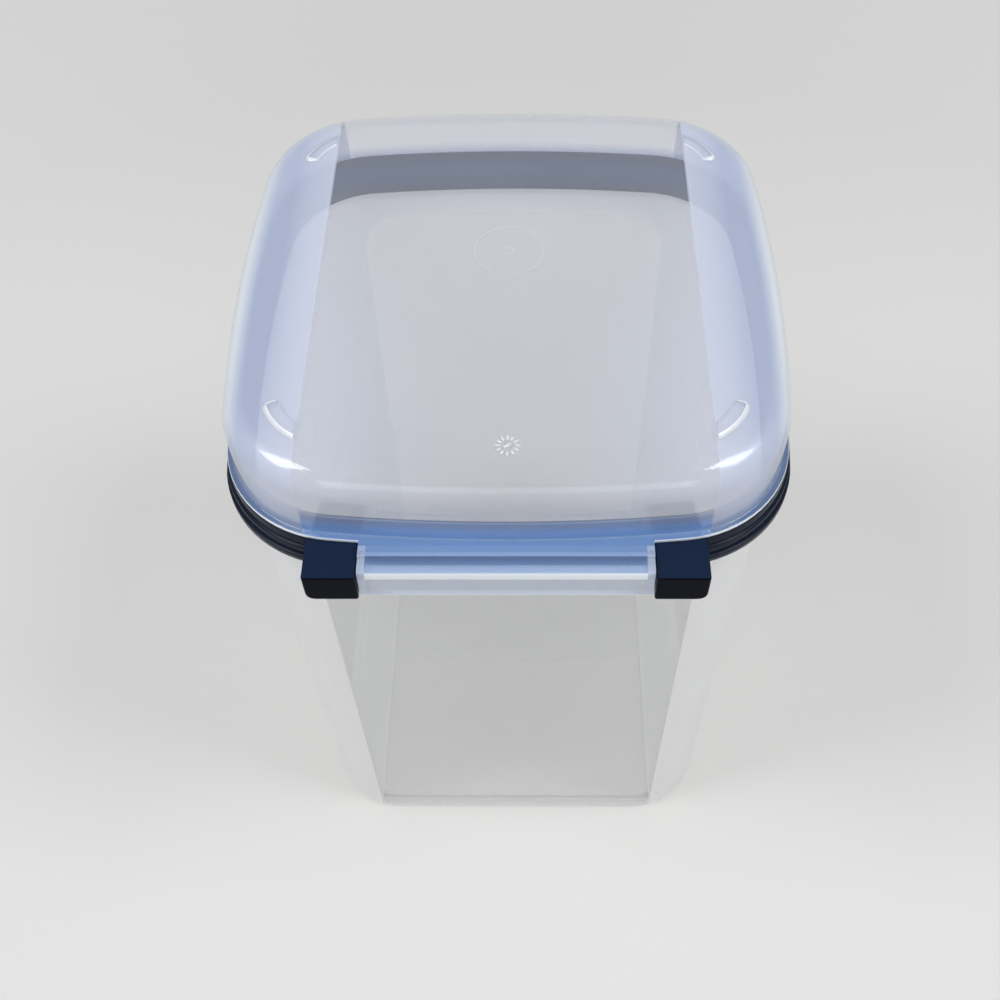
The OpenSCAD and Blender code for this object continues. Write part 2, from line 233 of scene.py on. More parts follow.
def write_attribute(obj, name, rule):
    """A number on every vertex, worked out from its place in millimetres."""
    values = [rule(*(v.co / MM)) for v in obj.data.vertices]
    obj.data.attributes.new(name, "FLOAT", "POINT").data.foreach_set("value", values)


# ---------- node trees ----------

class Value:
    """A socket that arithmetic turns into Math nodes."""

    def __init__(self, tree, socket):
        self.tree, self.socket = tree, socket

    def math(self, operation, *others, clamp=False):
        settings = {"operation": operation, "use_clamp": clamp}
        return self.tree.node("ShaderNodeMath", settings, dict(enumerate((self, *others))))

    def __add__(self, other):
        return self.math("ADD", other)

    def __sub__(self, other):
        return self.math("SUBTRACT", other)

    def __mul__(self, other):
        return self.math("MULTIPLY", other)

    def __truediv__(self, other):
        return self.math("DIVIDE", other)

    def __rsub__(self, other):
        return (self * -1.0).math("ADD", other)

    __radd__ = __add__

    def __abs__(self):
        return self.math("ABSOLUTE")

    def above(self, edge, soft):
        """0 below edge and 1 above it, over a width of soft."""
        return ((self - edge) / soft + 0.5).math("ADD", 0.0, clamp=True)


class Tree:
    """A node tree that is built one node at a time."""

    def __init__(self, tree):
        self.tree = tree

    def node(self, kind, settings=None, inputs=None, out=0):
        made = self.tree.nodes.new(kind)
        for key, value in (settings or {}).items():
            setattr(made, key, value)
        for key, value in (inputs or {}).items():
            if isinstance(value, Value):
                self.tree.links.new(value.socket, made.inputs[key])
            else:
                made.inputs[key].default_value = value
        return Value(self, made.outputs[out]) if made.outputs else None

    def place(self):
        """x, y and z of the surface point in millimetres."""
        coords = self.node("ShaderNodeTexCoord", out="Object")
        split = self.node("ShaderNodeSeparateXYZ", inputs={0: coords})
        outputs = split.socket.node.outputs
        return coords, [Value(self, outputs[i]) * 1000.0 for i in range(3)]

    def noise(self, coords, scale, detail=2.0, stretch=(1, 1, 1)):
        scaled = self.node("ShaderNodeMapping", inputs={"Vector": coords, "Scale": stretch})
        return self.node("ShaderNodeTexNoise", inputs={
            "Vector": scaled, "Scale": scale, "Detail": detail, "Roughness": 0.5})

    def mix(self, factor, a, b):
        """Colour a where factor is 0 and b where it is 1."""
        inputs = {0: factor, 6: colour(a), 7: colour(b)}
        return self.node("ShaderNodeMix", {"data_type": "RGBA"}, inputs, out=2)

    def attribute(self, name):
        return self.node("ShaderNodeAttribute", {"attribute_name": name}, out="Fac")

    def shadow_share(self, passed):
        """1 for sight and less for shadow, by the share of a lamp's light that the plastic lets on."""
        rays = self.node("ShaderNodeLightPath", out="Is Shadow Ray")
        return 1 - rays * passed

    def bump(self, height, strength, distance):
        return self.node("ShaderNodeBump", inputs={
            "Height": height, "Strength": strength, "Distance": distance * MM})


def colour(c):
    return c if isinstance(c, Value) else (*c, 1.0)


def new_material(name):
    material = bpy.data.materials.new(name)
    material.use_nodes = True
    material.node_tree.nodes.clear()
    return material, Tree(material.node_tree)


def finish_material(tree, **sockets):
    """A Principled shader with these sockets, on the material's output."""
    names = {"colour": "Base Color", "roughness": "Roughness", "alpha": "Alpha", "normal": "Normal",
             "specular": "Specular IOR Level", "coat": "Coat Weight", "coat_roughness": "Coat Roughness"}
    inputs = {names[k]: v for k, v in sockets.items()}
    shader = tree.node("ShaderNodeBsdfPrincipled", inputs=inputs)
    tree.node("ShaderNodeOutputMaterial", inputs={"Surface": shader})


def past_box(x, z, half, top, r):
    """How far a point lies past the box |x| < half - r, z < top - r: r on its rounded outline."""
    dx = (abs(x) - (half - r)).math("MAXIMUM", 0.0)
    dz = (z - (top - r)).math("MAXIMUM", 0.0)
    return (dx * dx + dz * dz).math("SQRT")


def body_plastic():
    """Milky polypropylene, with a clear polished window in the front and back walls."""
    material, t = new_material("milky_body_plastic")
    coords, (x, y, z) = t.place()
    r = WINDOW_R
    edge = past_box(x, z, WINDOW_HALF, WINDOW_TOP, r)
    window = (1 - edge.above(r, 0.8)) * z.above(3.0, 1.0)
    # painted highlight: a lighter, more opaque line along the window's edge, fainter on the far side
    line = 1 - (abs(edge - r) * 1.4).math("MINIMUM", 1.0)
    cloud = t.noise(coords, 22.0, 3.0)
    streak = t.noise(coords, 60.0, 2.0, stretch=(1, 1, 0.05))
    far = y.above(0.0, 20.0)
    haze = 0.76 - window * (0.51 - far * 0.12) + (cloud - 0.5) * 0.08 + (streak - 0.5) * 0.04
    # the thin foot ring round the base lets more through
    edge_zone = abs(x).above(101.0, 2.0).math("MAXIMUM", abs(y).above(100.0, 2.0)) * (1 - z.above(3.5, 3.0))
    haze = (haze + line * (0.14 - far * 0.12)) * (1 - edge_zone * 0.5)
    base = t.mix(window, (0.90, 0.90, 0.905), (0.83, 0.83, 0.82))
    # painted light: the base colour is whiter in the lowest few millimetres, lifting the shade at the foot
    base = t.mix(1 - z.above(5.0, 4.0), base, (0.97, 0.97, 0.96))
    grain = t.noise(coords, 1600.0, 2.0)
    rough = 0.42 - window * 0.27 + (cloud - 0.5) * 0.06
    finish_material(
        t, colour=base, alpha=haze.math("MINIMUM", 1.0) * t.shadow_share(0.35), roughness=rough, specular=0.4,
        normal=t.bump(grain * (1 - window * 0.85), 0.12, 0.05))
    return material


def lid_plastic():
    """Clear polypropylene, frosted on both sides of a polished stripe."""
    material, t = new_material("clear_lid_plastic")
    coords, (x, y, z) = t.place()
    stripe = 1 - abs(x).above(CLEAR_HALF, 0.7)
    side = abs(x)
    line = 1 - (abs(side - CLEAR_HALF) * 1.2).math("MINIMUM", 1.0)
    cloud = t.noise(coords, 18.0, 3.0)
    fresnel = t.node("ShaderNodeLayerWeight", inputs={"Blend": 0.25}, out="Facing")
    low = 1 - z.above(313.0, 8.0)
    # painted highlight: the flange's thin outer edge, marked on the lid's vertices
    rim = t.attribute("rim")
    depth = t.attribute("inset")
    # 1 on each zone of the lid: the tongue, its two ears and what lies between them, then the flange
    tongue = (1 - y.above(-119.2, 0.4)) * (1 - side.above(TONGUE_HALF + 0.3, 0.2))
    ear = tongue * side.above(TONGUE_HALF - EAR_T, 0.4)
    between = tongue * (1 - ear)
    # painted highlights on the tongue's ridge, the top of its lip and its bottom edge; painted shadow on the
    # step behind the ridge
    ridge_highlight = between * (1 - y.above(-122.3, 0.5)) * y.above(-124.1, 0.3) * z.above(305.2, 0.4)
    shadow = between * (1 - y.above(-123.9, 0.3)) * y.above(-127.4, 4.4) * z.above(303.0, 0.6)
    lip_highlight = between * (1 - y.above(-130.2, 0.4)) * z.above(299.8, 0.8) * (1 - z.above(303.6, 0.5))
    foot_highlight = tongue * (1 - z.above(288.7, 0.3)) * (1 - y.above(-128.0, 1.0))
    front = tongue * (1 - z.above(299.8, 0.6))
    flange = (1 - z.above(306.5, 0.8)) * (1 - tongue)
    near = 1 - y.above(-10.0, 140.0)
    # the clear stripe gets milkier where the dome turns down towards the near side
    turned = side * side * 0.000034 + (1 - z.above(336.0, 6.0)) * 0.12 + 0.03
    clear = 0.075 + turned * near * z.above(316.5, 5.0)
    haze = 0.58 + (clear - 0.58) * stripe + (cloud - 0.5) * 0.04 + line * 0.05
    # the lower band is more opaque, to carry its painted blue
    haze = haze + low * (0.06 + stripe * (0.34 - flange * 0.08))
    haze = haze + (1 - haze) * fresnel * 0.45
    # more opacity on the edges where the light gathers, the shaded step, the ears and the front, so the
    # painted highlights and shade show
    painted_edge_opacity = rim * 0.8 + ridge_highlight * 0.2 + lip_highlight * 0.85 + foot_highlight * 0.8 + ear * 0.2 + shadow * 0.2 + front * 0.15
    haze = haze + (1 - haze) * painted_edge_opacity
    # painted light and shade on the frosted sides: lighter on the side walls, a darker blue band over the
    # shoulder, lighter again towards the stripe
    inner = (119.0 - side).above(30.0, 18.0)
    shoulder = depth.above(12.5, 7.0) * (1 - inner)
    painted_wall_light = t.mix(side.above(109.0, 8.0), (0.62, 0.68, 0.86), (0.90, 0.96, 1.0))
    frosted = t.mix(shoulder, painted_wall_light, (0.47, 0.53, 0.71))
    frosted = t.mix(inner, frosted, (0.64, 0.68, 0.82))
    base = t.mix(stripe, frosted, (0.64, 0.68, 0.80))
    # painted light and shade: the lower band, the flange and the tongue are painted blue for the navy ring
    # seen through the haze and the light the haze scatters
    painted_low_blue = t.mix(stripe, (0.30, 0.41, 0.66), (0.26, 0.50, 1.0))
    painted_edge_blue = t.mix(stripe, (0.11, 0.19, 0.38), (0.25, 0.42, 0.75))
    base = t.mix(low * (0.55 + stripe * 0.40), base, painted_low_blue)
    base = t.mix(flange.math("MAXIMUM", tongue), base, painted_edge_blue)
    base = t.mix(front, base, (0.54, 0.60, 0.72))
    base = t.mix(ear * 0.8, base, (0.58, 0.65, 0.82))
    # painted highlight on the ridge, painted shadow on the step behind it, and white painted highlights on
    # the rim, the lip and the bottom edge
    base = t.mix(ridge_highlight, base, (0.34, 0.50, 0.85))
    base = t.mix(shadow * 0.9, base, (0.05, 0.10, 0.24))
    base = t.mix((rim + lip_highlight + foot_highlight).math("MINIMUM", 1.0), base, (0.86, 0.93, 1.0))
    grain = t.noise(coords, 1800.0, 2.0)
    rough = 0.30 - stripe * 0.22
    finish_material(
        t, colour=base, alpha=haze.math("MINIMUM", 1.0) * t.shadow_share(0.6), roughness=rough, specular=0.8,
        coat=1.0, coat_roughness=0.08,
        normal=t.bump(grain * (1 - stripe * 0.9), 0.08, 0.05))
    return material


def mark_plastic(name, strength, slope_highlight_strength=0.0):
    """The lugs and fine marks of the lid, polished; a highlight is painted in the slopes of a lug."""
    material, t = new_material(name)
    coords, (_, _, z) = t.place()
    cloud = t.noise(coords, 300.0, 2.0)
    # painted highlight: the slopes of a lug are made more opaque, so they show white
    painted_slope_highlight = (1 - z.above(LID_TOP + LUG_H - 0.12, 0.15)) * z.above(LID_TOP + 0.05, 0.1)
    finish_material(
        t, colour=t.mix(cloud, (0.88, 0.91, 0.96), (0.94, 0.96, 1.0)), specular=0.5,
        alpha=strength + cloud * 0.1 + painted_slope_highlight * slope_highlight_strength, roughness=0.12 + cloud * 0.05)
    return material


def ring_plastic():
    """Dark navy polypropylene, polished on the steps of the outer side."""
    material, t = new_material("navy_ring_plastic")
    coords, (_, y, _) = t.place()
    cloud = t.noise(coords, 40.0, 3.0)
    collar, painted_highlight, painted_shade = (t.attribute(name) for name in ("under_lid", "lit_edge", "dark_edge"))
    base = t.mix(cloud, (0.006, 0.010, 0.024), (0.009, 0.014, 0.032))
    # painted light: the ring under the lid is painted blue, brighter on the near side, for the light in the
    # lid's haze
    painted_under_lid_blue = t.mix(y.above(0.0, 60.0), (0.018, 0.075, 0.20), (0.008, 0.045, 0.14))
    base = t.mix(collar, base, painted_under_lid_blue)
    # painted highlight on the collar's outer top edge; painted shade on its inner top and at its foot
    base = t.mix(painted_highlight, base, (0.14, 0.28, 0.58))
    base = t.mix(painted_shade, base, (0.004, 0.008, 0.022))
    grain = t.noise(coords, 1400.0, 2.0)
    finish_material(
        t, colour=base, roughness=0.14 + cloud * 0.08 + collar * 0.15, specular=0.10,
        normal=t.bump(grain, 0.04, 0.03))
    return material


def block_plastic():
    """Navy polypropylene, fine matt grain on top and polished below; the polished sides are painted almost
    black, a painted shade.
    """
    material, t = new_material("navy_block_plastic")
    coords, (_, _, z) = t.place()
    top = z.above(RING_TOP - 0.25, 0.2)
    cloud = t.noise(coords, 90.0, 3.0)
    grain = t.noise(coords, 1300.0, 3.0)
    matt = t.mix(cloud, (0.008, 0.017, 0.042), (0.011, 0.022, 0.052))
    # painted shade: below the top the navy is painted almost black
    base = t.mix(top, (0.0015, 0.0025, 0.007), matt)
    finish_material(
        t, colour=base, roughness=0.10 + top * 0.36 + (grain - 0.5) * 0.08, specular=0.03,
        normal=t.bump(grain, 0.25, 0.05))
    return material


def gasket_rubber():
    material, t = new_material("gasket_rubber")
    coords, _ = t.place()
    cloud = t.noise(coords, 120.0, 3.0)
    grain = t.noise(coords, 1200.0, 2.0)
    finish_material(
        t, colour=t.mix(cloud, (0.72, 0.72, 0.68), (0.80, 0.80, 0.77)), roughness=0.55 + cloud * 0.15,
        normal=t.bump(grain, 0.15, 0.05))
    return material


# ---------- the pieces ----------

def make_container():
    base_half = np.array([107.5, 106.5])
    base_r = 37.0
    centre = base_half - base_r

    def base_quarter(d):
        points = [(base_half[0] - d, centre[1] * i / SIDE_STEPS) for i in range(SIDE_STEPS)]
        points += [circle_point(centre, base_r - d, math.pi / 2 * i / CORNER_STEPS)
                   for i in range(CORNER_STEPS + 1)]
        points += [(centre[0] * (1 - i / SIDE_STEPS), base_half[1] - d) for i in range(1, SIDE_STEPS + 1)]
        return np.array(points)

    def wall_outline(d, z):
        low, high = base_quarter(d), bowed_quarter(7.9 + d)
        points = all_quarters(low + (high - low) * z / RIM_Z)
        return np.column_stack([points, np.full(len(points), z)])

    section = [(10.6, 2.0), (8.6, 2.0), (8.3, 1.8), (8.2, 0.4), (8.05, 0.1), (7.8, 0.0)]
    section += arc(5, 5, 5, 270, 180, 10)
    section += [(0, 60), (0, 120), (0, 180), (0, 240), (0, 292.6), (0, 293.5), (-0.1, 293.7), (-1.55, 294.35)]
    section += arc(-1.55, 294.6, 0.25, 270, 180, 2) + [(-1.8, 297)]
    section += arc(-1.3, 299.5, 0.5, 180, 90, 4) + arc(1.3, 299.5, 0.5, 90, 0, 4)
    section += [(1.8, 240), (1.8, 180), (1.8, 120), (1.8, 60)]
    section += arc(5.0, 7.4, 3.2, 180, 270, 8) + [(6.6, 4.2)]
    return smooth(swept_shell("container_shell", [wall_outline(d, z) for d, z in section]))


# The ring's section as (inset, z): skirt, top, collar, inner skirt, then the snap leg with its hook
RING_SECTION = (
    [(0.3, 290.0), (0.09, 290.09), (0.0, 290.3), (0.0, 293.3), (0.09, 293.55), (0.3, 293.7), (0.85, 293.78),
     (1.08, 293.85), (1.2, 294.1), (1.2, 294.9), (1.1, 295.0), (1.1, 295.3), (1.2, 295.4), (1.2, 296.3),
     (1.1, 296.4), (1.1, 296.7), (1.2, 296.8), (1.2, 298.2), (1.3, 298.4), (1.6, 298.5), (2.1, 298.6),
     (2.27, 298.7), (2.3, 299.0), (2.58, 303.3), (2.7, 303.75), (2.9, 303.95), (3.2, 304.0), (6.8, 304.0),
     (7.1, 304.0)]
    + arc(7.5, 304.5, 0.5, 270, 360, 3)
    + [(8.02, 305.0), (8.15, 308.5), (8.28, 312.3)]
    + arc(8.7, 312.6, 0.4, 180, 90, 4)
    + arc(9.2, 312.6, 0.4, 90, 0, 4)
    + [(10.4, 304.0), (11.75, 292.3)]
    + arc(11.4, 292.2, 0.4, 0, -90, 3)
    + [(10.67, 291.8), (10.27, 292.2), (10.0, 302.2), (5.7, 302.2), (5.7, 293.9), (7.1, 293.5), (7.1, 292.6),
       (5.7, 291.2), (4.5, 291.2), (4.3, 291.4), (4.3, 298.4), (3.0, 298.4), (3.0, 293.6), (1.8, 293.2),
       (1.8, 290.3), (1.6, 290.0)]
)


def back_curve(e, start, end, steps=10):
    return [(x, back_y(e, x)) for x in np.linspace(start, end, steps + 1)]


def make_ring():
    ring = swept_ring("rim_ring_body", RING_SECTION)
    rail_end = BLOCK_OUTER + 3
    rail = prism("rail", back_curve(1.6, -rail_end, rail_end, 24) + back_curve(4.6, rail_end, -rail_end, 24),
                 along_z, RING_LOW, 298.41)
    combine(ring, [rail], "UNION")
    w = BLOCK_IN
    relief = [(-w, RELIEF_Y), (-w, -131.0), (w, -131.0), (w, RELIEF_Y)]
    cutters = [prism("relief", relief, along_z, *THROUGH_RING)]
    start, end = BLOCK_IN - 0.3, BLOCK_OUTER + 0.3
    for side in (-1, 1):
        seat = [(end, BLOCK_FRONT), (start, BLOCK_FRONT), (start, back_y(SEAT_E, start))]
        seat += back_curve(SEAT_E, BLOCK_IN, BLOCK_OUTER) + [(end, back_y(SEAT_E, end))]
        cutters.append(prism("seat", [(side * x, y) for x, y in seat], along_z, *THROUGH_RING))
    combine(ring, cutters, "DIFFERENCE")
    # painted light: the under_lid mark is where the ring is painted blue under the lid
    write_attribute(ring, "under_lid", lambda x, y, z: float(z > 303.97 and inset(x, y) > 3.0))
    # painted highlight on the collar's outer top edge and painted shade on its inner top and foot
    write_attribute(ring, "lit_edge", lambda x, y, z: float(z > COLLAR_EDGE and inset(x, y) < 8.6))
    write_attribute(ring, "dark_edge", collar_shade)
    return smooth(ring, 30)


def collar_shade(x, y, z):
    """1 on the inner half of the collar's top and in the corner at its foot."""
    e = inset(x, y)
    return float(z > COLLAR_EDGE and e > 8.65 or 303.9 < z < 304.7 and 7.05 < e < 8.01)


def make_block(name, side):
    """A block lofted from its rounded front to its curved seat on the ring."""
    radii = [(BLOCK_IN, BLOCK_LOW, 1.2), (BLOCK_OUTER, BLOCK_LOW, 4.5),
             (BLOCK_OUTER, RING_TOP, 0.8), (BLOCK_IN, RING_TOP, 0.8)]

    def face_outline(d):
        box = [(BLOCK_IN + d, BLOCK_LOW + d), (BLOCK_OUTER - d, BLOCK_LOW + d),
               (BLOCK_OUTER - d, RING_TOP - d), (BLOCK_IN + d, RING_TOP - d)]
        return rounded(box, [max(r - d, 0.15) for _, _, r in radii], steps=6)

    edge_r = 0.9
    front = [(0.0, 1.6), (0.0, edge_r)]
    front += [(edge_r * (1 - math.cos(a)), edge_r * (1 - math.sin(a)))
              for a in np.linspace(0.25, math.pi / 2, 5)]
    loops = [[(x, BLOCK_FRONT + depth, z) for x, z in face_outline(d)] for depth, d in front]
    loops.append([(x, back_y(SEAT_E, x), z) for x, z in face_outline(0)])
    block = swept_shell(name, [[(side * x, y, z) for x, y, z in loop] for loop in loops])
    bore = arc(PIVOT_Y, PIVOT_Z, BORE_R, *ROUND)
    combine(block, [prism("bore", bore, along_x, side * (BLOCK_IN - 1), side * BORE_END)], "DIFFERENCE")
    return smooth(block, 30)


def painted_rim_highlight(x, y, z):
    """1 on the flange's thin outer edge, where a white highlight is painted."""
    return float(z < 306.1 and inset(x, y) < 3.0 and (abs(x) > TONGUE_HALF + 0.2 or y > -119.4))


def make_lid():
    shoulder = (17.4, 326.8)
    outer = [(21.0, LID_TOP)] + arc(*shoulder, 12.0, 90, 180, 16) + [(5.4, 316.0)]
    outer += arc(4.4, 307.0, 1.0, 0, -90, 5)
    outer += arc(3.2, 305.5, 0.5, 90, 180, 4) + arc(3.2, 304.7, 0.5, 180, 270, 4)
    inner = arc(6.9, 304.5, 0.3, 270, 360, 3) + [(7.2, 316.0)] + arc(*shoulder, 10.2, 180, 90, 14)
    inner += [(21.0, 337.0)]
    lid = swept_shell("lid_shell", [outline(e, z) for e, z in outer + inner])
    tongue = [(-115.7, 306.0), (-123.8, 306.0), (-124.0, 305.8), (-124.35, 304.7)]
    tongue += arc(-128.6, 302.2, 2.4, 90, 180, 8) + [(-131.0, 288.5)] + arc(-130.6, 288.4, 0.4, 180, 270, 3)
    tongue += [(-129.5, 288.0), (-129.2, 288.4)] + arc(-128.0, 301.0, 1.2, 180, 90, 6)
    tongue += [(-121.5, 302.6), (-120.5, 304.2), (-115.7, 304.2)]
    ear = [(-119.5, 306.0)] + tongue[1:14] + arc(PIVOT_Y, PIVOT_Z, 6.0, 270, 360, 12)
    parts = [prism("tongue", tongue, along_x, -TONGUE_HALF, TONGUE_HALF)]
    for side in (-1, 1):
        parts.append(prism("ear", ear, along_x, side * (TONGUE_HALF - EAR_T), side * TONGUE_HALF))
        parts.append(prism("trunnion", arc(PIVOT_Y, PIVOT_Z, TRUNNION_R, *ROUND), along_x,
                           side * (TONGUE_HALF - 1.5), side * TRUNNION_END))
    combine(lid, parts, "UNION")
    dimples = [prism("dimple", arc(side * 56.7, -122.9, 1.1, 0, 350, 35), along_z, 305.4, 307)
               for side in (-1, 1)]
    combine(lid, dimples, "DIFFERENCE")
    # painted highlight on the flange's outer edge, and the inset that places the painted shade on the
    # shoulder
    write_attribute(lid, "rim", painted_rim_highlight)
    write_attribute(lid, "inset", lambda x, y, z: min(max(inset(x, y), 0.0), 21.0))
    return smooth(lid, 32)


def geometry_tree(name, sizes):
    """A Geometry Nodes tree with its number inputs and a material input, by name."""
    group = bpy.data.node_groups.new(name, "GeometryNodeTree")
    group.interface.new_socket("Geometry", in_out="OUTPUT", socket_type="NodeSocketGeometry")
    for size, value in sizes.items():
        label = size.replace("_", " ")
        socket = group.interface.new_socket(label, in_out="INPUT", socket_type="NodeSocketFloat")
        socket.default_value = value
    socket = group.interface.new_socket("Material", in_out="INPUT", socket_type="NodeSocketMaterial")
    tree = Tree(group)
    source = group.nodes.new("NodeGroupInput")
    inputs = {s.name: Value(tree, s) for s in source.outputs if s.name}
    return group, tree, inputs


def end_tree(tree, geometry, material):
    real = tree.node("GeometryNodeRealizeInstances", inputs={0: geometry})
    shaded = tree.node("GeometryNodeSetShadeSmooth", inputs={0: real})
    done = tree.node("GeometryNodeSetMaterial", inputs={"Geometry": shaded, "Material": material})
    tree.node("NodeGroupOutput", inputs={0: done})


def from_nodes(name, group, material, **sizes):
    """The mesh that a Geometry Nodes tree makes, as a plain object."""
    obj = bpy.data.objects.new(name, bpy.data.meshes.new(name))
    bpy.context.scene.collection.objects.link(obj)
    modifier = obj.modifiers.new("build", "NODES")
    modifier.node_group = group
    for item in group.interface.items_tree:
        if item.in_out == "INPUT":
            value = material if item.name == "Material" else sizes[item.name.replace(" ", "_")]
            modifier[item.identifier] = value
    return applied(obj)


def place_parts(t):
    """x, y and z of each point in a Geometry Nodes tree."""
    split = t.node("ShaderNodeSeparateXYZ", inputs={0: t.node("GeometryNodeInputPosition")})
    return [Value(t, socket) for socket in split.socket.node.outputs]


def make_lugs(material):
    """The four raised arcs near the lid's corners.

    Each is round at one end and cut straight at the clear stripe.
    """
    sizes = dict(Corner_x=0.0659, Corner_y=0.0648, Top=0.3388, Radius=0.0284, Half_width=0.0036, Lean=0.0022,
                 Height=0.0012, Start=0.29, Sweep=0.75, Cut_x=0.0815)
    group, t, inp = geometry_tree("corner lugs", sizes)
    path = t.node("GeometryNodeCurveArc", inputs={
        "Resolution": 48, "Radius": inp["Radius"], "Start Angle": inp["Start"], "Sweep Angle": inp["Sweep"]})
    along = t.node("GeometryNodeSplineParameter", out="Factor")
    end = (along * 6.0).math("MINIMUM", 1.0)
    width = (1 - (1 - end) * (1 - end)).math("SQRT").math("MAXIMUM", 0.05)
    disc = t.node("GeometryNodeCurvePrimitiveCircle", inputs={"Resolution": 24, "Radius": 1.0})
    across, up, _ = place_parts(t)
    level = (up * -3.0).math("MINIMUM", 1.0).math("MAXIMUM", -0.3)
    lean = across.math("MAXIMUM", 0.0) * level.math("MAXIMUM", 0.0) * inp["Lean"]
    shaped = t.node("ShaderNodeCombineXYZ", inputs={
        0: across * inp["Half width"] - lean, 1: level * inp["Height"] * -1.0, 2: 0.0})
    profile = t.node("GeometryNodeSetPosition", inputs={"Geometry": disc, "Position": shaped})
    bar = t.node("GeometryNodeCurveToMesh", inputs={
        "Curve": path, "Profile Curve": profile, "Scale": width, "Fill Caps": True})
    x, y, z = place_parts(t)
    radius = (x * x + y * y).math("SQRT")
    stop = ((inp["Cut x"] - inp["Corner x"]) / radius).math("ARCCOSINE")
    share = (y.math("ARCTAN2", x) - inp["Start"]) / inp["Sweep"]
    angle = inp["Start"] + share * (stop - inp["Start"])
    bent = t.node("ShaderNodeCombineXYZ", inputs={
        0: radius * angle.math("COSINE"), 1: radius * angle.math("SINE"), 2: z})
    bar = t.node("GeometryNodeSetPosition", inputs={"Geometry": bar, "Position": bent})
    index = t.node("GeometryNodeInputIndex")
    right = index.math("MODULO", 2.0) * 2.0 - 1.0
    far = index.math("GREATER_THAN", 1.5) * 2.0 - 1.0
    at = t.node("ShaderNodeCombineXYZ", inputs={
        0: right * inp["Corner x"], 1: far * inp["Corner y"], 2: inp["Top"]})
    points = t.node("GeometryNodePoints", inputs={"Count": 4, "Position": at})
    mirror = t.node("ShaderNodeCombineXYZ", inputs={0: right, 1: far, 2: 1.0})
    lugs = t.node("GeometryNodeInstanceOnPoints", inputs={"Points": points, "Instance": bar, "Scale": mirror})
    end_tree(t, lugs, inp["Material"])
    return outwards(from_nodes("lid_corner_lugs", group, material, **sizes))


def make_dial(material):
    """A plain mould dial on the lid: ticks round a short pointer."""
    sizes = dict(X=0.0008, Y=-0.0950, Top=0.3388, Inner=0.0027, Outer=0.0050, Width=0.0007, Height=0.00015)
    group, t, inp = geometry_tree("date dial", sizes)
    middle = (inp["Inner"] + inp["Outer"]) * 0.5
    ring = t.node("GeometryNodeMeshCircle", inputs={"Vertices": 12, "Radius": middle})
    length = inp["Outer"] - inp["Inner"]
    size = t.node("ShaderNodeCombineXYZ", inputs={0: length, 1: inp["Width"], 2: inp["Height"]})
    tick = t.node("GeometryNodeMeshCube", inputs={"Size": size})
    index = t.node("GeometryNodeInputIndex")
    turn = t.node("ShaderNodeCombineXYZ", inputs={2: index * (math.pi / 6)})
    turn = t.node("FunctionNodeEulerToRotation", inputs={0: turn})
    ticks = t.node("GeometryNodeInstanceOnPoints", inputs={
        "Points": ring, "Instance": tick, "Rotation": turn})
    size = t.node("ShaderNodeCombineXYZ", inputs={0: length * 1.5, 1: inp["Width"] * 1.3, 2: inp["Height"]})
    bar = t.node("GeometryNodeMeshCube", inputs={"Size": size})
    bar = t.node("GeometryNodeTransform", inputs={"Geometry": bar, "Rotation": (0.0, 0.0, 0.6)})
    both = t.node("GeometryNodeJoinGeometry")
    for part in (ticks, bar):
        t.tree.links.new(part.socket, both.socket.node.inputs[0])
    at = t.node("ShaderNodeCombineXYZ", inputs={0: inp["X"], 1: inp["Y"], 2: inp["Top"]})
    placed = t.node("GeometryNodeTransform", inputs={"Geometry": both, "Translation": at})
    end_tree(t, placed, inp["Material"])
    return from_nodes("lid_date_dial", group, material, **sizes)


def make_gate(material):
    """The faint ring round the moulding gate and its small ring-shaped scar."""
    verts, faces = [], []
    for radius, width, height in ((15.0, 0.35, 0.08), (2.1, 0.45, 0.18)):
        first, n = len(verts), 72
        section = [(radius - width, 0.0), (radius - width / 2, height), (radius + width / 2, height),
                   (radius + width, 0.0), (radius, -0.1)]
        for r, h in section:
            verts += [(0.3 + r * math.cos(2 * math.pi * i / n), 13.0 + r * math.sin(2 * math.pi * i / n),
                       LID_TOP + h) for i in range(n)]
        faces += [tuple(first + k for k in f) for f in grid_faces(len(section), n, True)]
    gate = smooth(mesh_object("lid_gate_mark", verts, faces), 60)
    gate.data.materials.append(material)
    return gate


def dress(obj, material, body, slot, *nodes):
    if not obj.data.materials:
        obj.data.materials.append(material)
    else:
        obj.data.materials[0] = material
    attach(obj, body)
    if nodes:
        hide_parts(*nodes)


lid_material = lid_plastic()
lug_material = mark_plastic("lid_lug_plastic", 0.06, 0.70)
dial_material = mark_plastic("lid_dial_plastic", 0.95)
gate_material = mark_plastic("lid_gate_plastic", 0.03)
block_material = block_plastic()
dress(make_container(), body_plastic(), "bin", "milky_body", "container")
dress(make_ring(), ring_plastic(), "bin", "navy_ring", "rim_ring")
dress(make_block("hinge_block_right_body", 1), block_material, "bin", "navy_block", "hinge_block_right")
dress(make_block("hinge_block_left_body", -1), block_material, "bin", "navy_block", "hinge_block_left")
dress(make_lid(), lid_material, "lid", "clear_lid", "lid")
dress(make_lugs(lug_material), lug_material, "lid", "clear_lid")
dress(make_dial(dial_material), dial_material, "lid", "clear_lid")
dress(make_gate(gate_material), gate_material, "lid", "clear_lid")

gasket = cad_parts["rim_gasket"]
gasket.data.materials.clear()
gasket.data.materials.append(gasket_rubber())


# ---------- floor, light and camera ----------

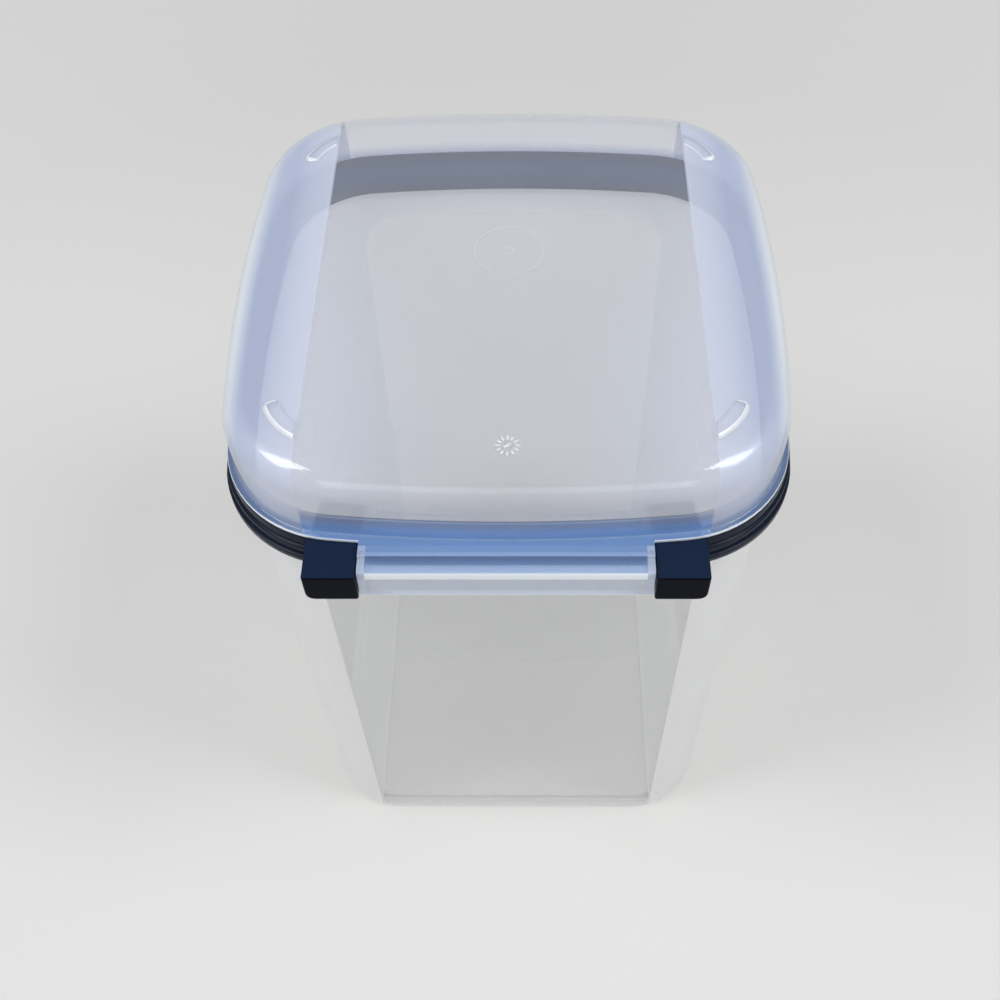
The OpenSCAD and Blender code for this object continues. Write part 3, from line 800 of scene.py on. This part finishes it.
def pale_stage():
    """Pale floor that runs on into the background without a horizon line."""
    material, t = new_material("pale_floor")
    coords, (x, y, _) = t.place()
    cloud = t.noise(coords, 1.5, 3.0)
    shader = t.node("ShaderNodeBsdfPrincipled", inputs={
        "Base Color": t.mix(cloud, (0.80, 0.79, 0.77), (0.84, 0.83, 0.81)), "Roughness": 0.7,
        "Specular IOR Level": 0.2})
    beyond = t.node("ShaderNodeEmission", inputs={"Color": BACKDROP, "Strength": BACKDROP_LEVEL})
    away = (x * x + y * y).math("SQRT").above(1500.0, 1700.0)
    joined = t.node("ShaderNodeMixShader", inputs={0: away * direct_rays(t), 1: shader, 2: beyond})
    t.node("ShaderNodeOutputMaterial", inputs={"Surface": joined})
    s = FLOOR_HALF
    floor = mesh_object("floor", [(-s, -s, 0), (s, -s, 0), (s, s, 0), (-s, s, 0)], [(0, 1, 2, 3)])
    floor.data.materials.append(material)


def direct_rays(t):
    """1 for sight, reflections and what is seen through clear plastic."""
    rays = t.node("ShaderNodeLightPath").socket.node.outputs
    seen = [Value(t, rays[name]) for name in ("Is Camera Ray", "Is Glossy Ray", "Is Transmission Ray")]
    return seen[0].math("MAXIMUM", seen[1]).math("MAXIMUM", seen[2])


def lamp(name, place, target, size, power, tint):
    light = bpy.data.lights.new(name, "AREA")
    light.shape, light.size, light.size_y = "RECTANGLE", *size
    light.energy, light.color = power, tint
    obj = bpy.data.objects.new(name, light)
    bpy.context.scene.collection.objects.link(obj)
    obj.location = place
    obj.rotation_euler = (Vector(target) - Vector(place)).to_track_quat("-Z", "Y").to_euler()


def world_light():
    world = bpy.data.worlds.new("studio")
    world.use_nodes = True
    world.node_tree.nodes.clear()
    t = Tree(world.node_tree)
    strength = WORLD_LEVEL + direct_rays(t) * (BACKDROP_LEVEL - WORLD_LEVEL)
    shader = t.node("ShaderNodeBackground", inputs={"Color": BACKDROP, "Strength": strength})
    t.node("ShaderNodeOutputWorld", inputs={"Surface": shader})
    bpy.context.scene.world = world


def photo_camera():
    """The photograph's viewing angle."""
    pitch, yaw, roll = (math.radians(a) for a in (VIEW_PITCH, VIEW_YAW, VIEW_ROLL))
    cp, sp, cy, sy, cr, sr = (f(a) for a in (pitch, yaw, roll) for f in (math.cos, math.sin))
    tilt = np.array([[1, 0, 0], [0, -sp, -cp], [0, cp, -sp]])
    turn = np.array([[cy, -sy, 0], [sy, cy, 0], [0, 0, 1]])
    level = np.array([[cr, -sr, 0], [sr, cr, 0], [0, 0, 1]])
    right, down, ahead = level @ tilt @ turn
    camera = bpy.data.cameras.new("photo_camera")
    camera.sensor_width, camera.lens = 36.0, 36.0 * VIEW_FOCUS / VIEW_WIDTH
    camera.shift_x = -(VIEW_MIDDLE - VIEW_WIDTH / 2) / VIEW_WIDTH
    camera.clip_start, camera.clip_end = 0.01, 50.0
    obj = bpy.data.objects.new("photo_camera", camera)
    bpy.context.scene.collection.objects.link(obj)
    m = Matrix(np.column_stack([right, -down, -ahead]).tolist()).to_4x4()
    m.translation = Vector(VIEW_PLACE) * MM
    obj.matrix_world = m
    bpy.context.scene.camera = obj


pale_stage()
world_light()
for side in (-1, 1):
    lamp("panel", (side * 1.15, -0.3, 1.85), (0, 0, 0.3), (0.7, 0.9), 14.0, (0.97, 0.985, 1.0))
lamp("front", (0, -1.8, 1.2), (0, 0, 0.2), (1.6, 0.8), 6.0, (1.0, 0.99, 0.97))
photo_camera()
scene = bpy.context.scene
scene.view_settings.view_transform = "Standard"
scene.cycles.transparent_max_bounces = 32
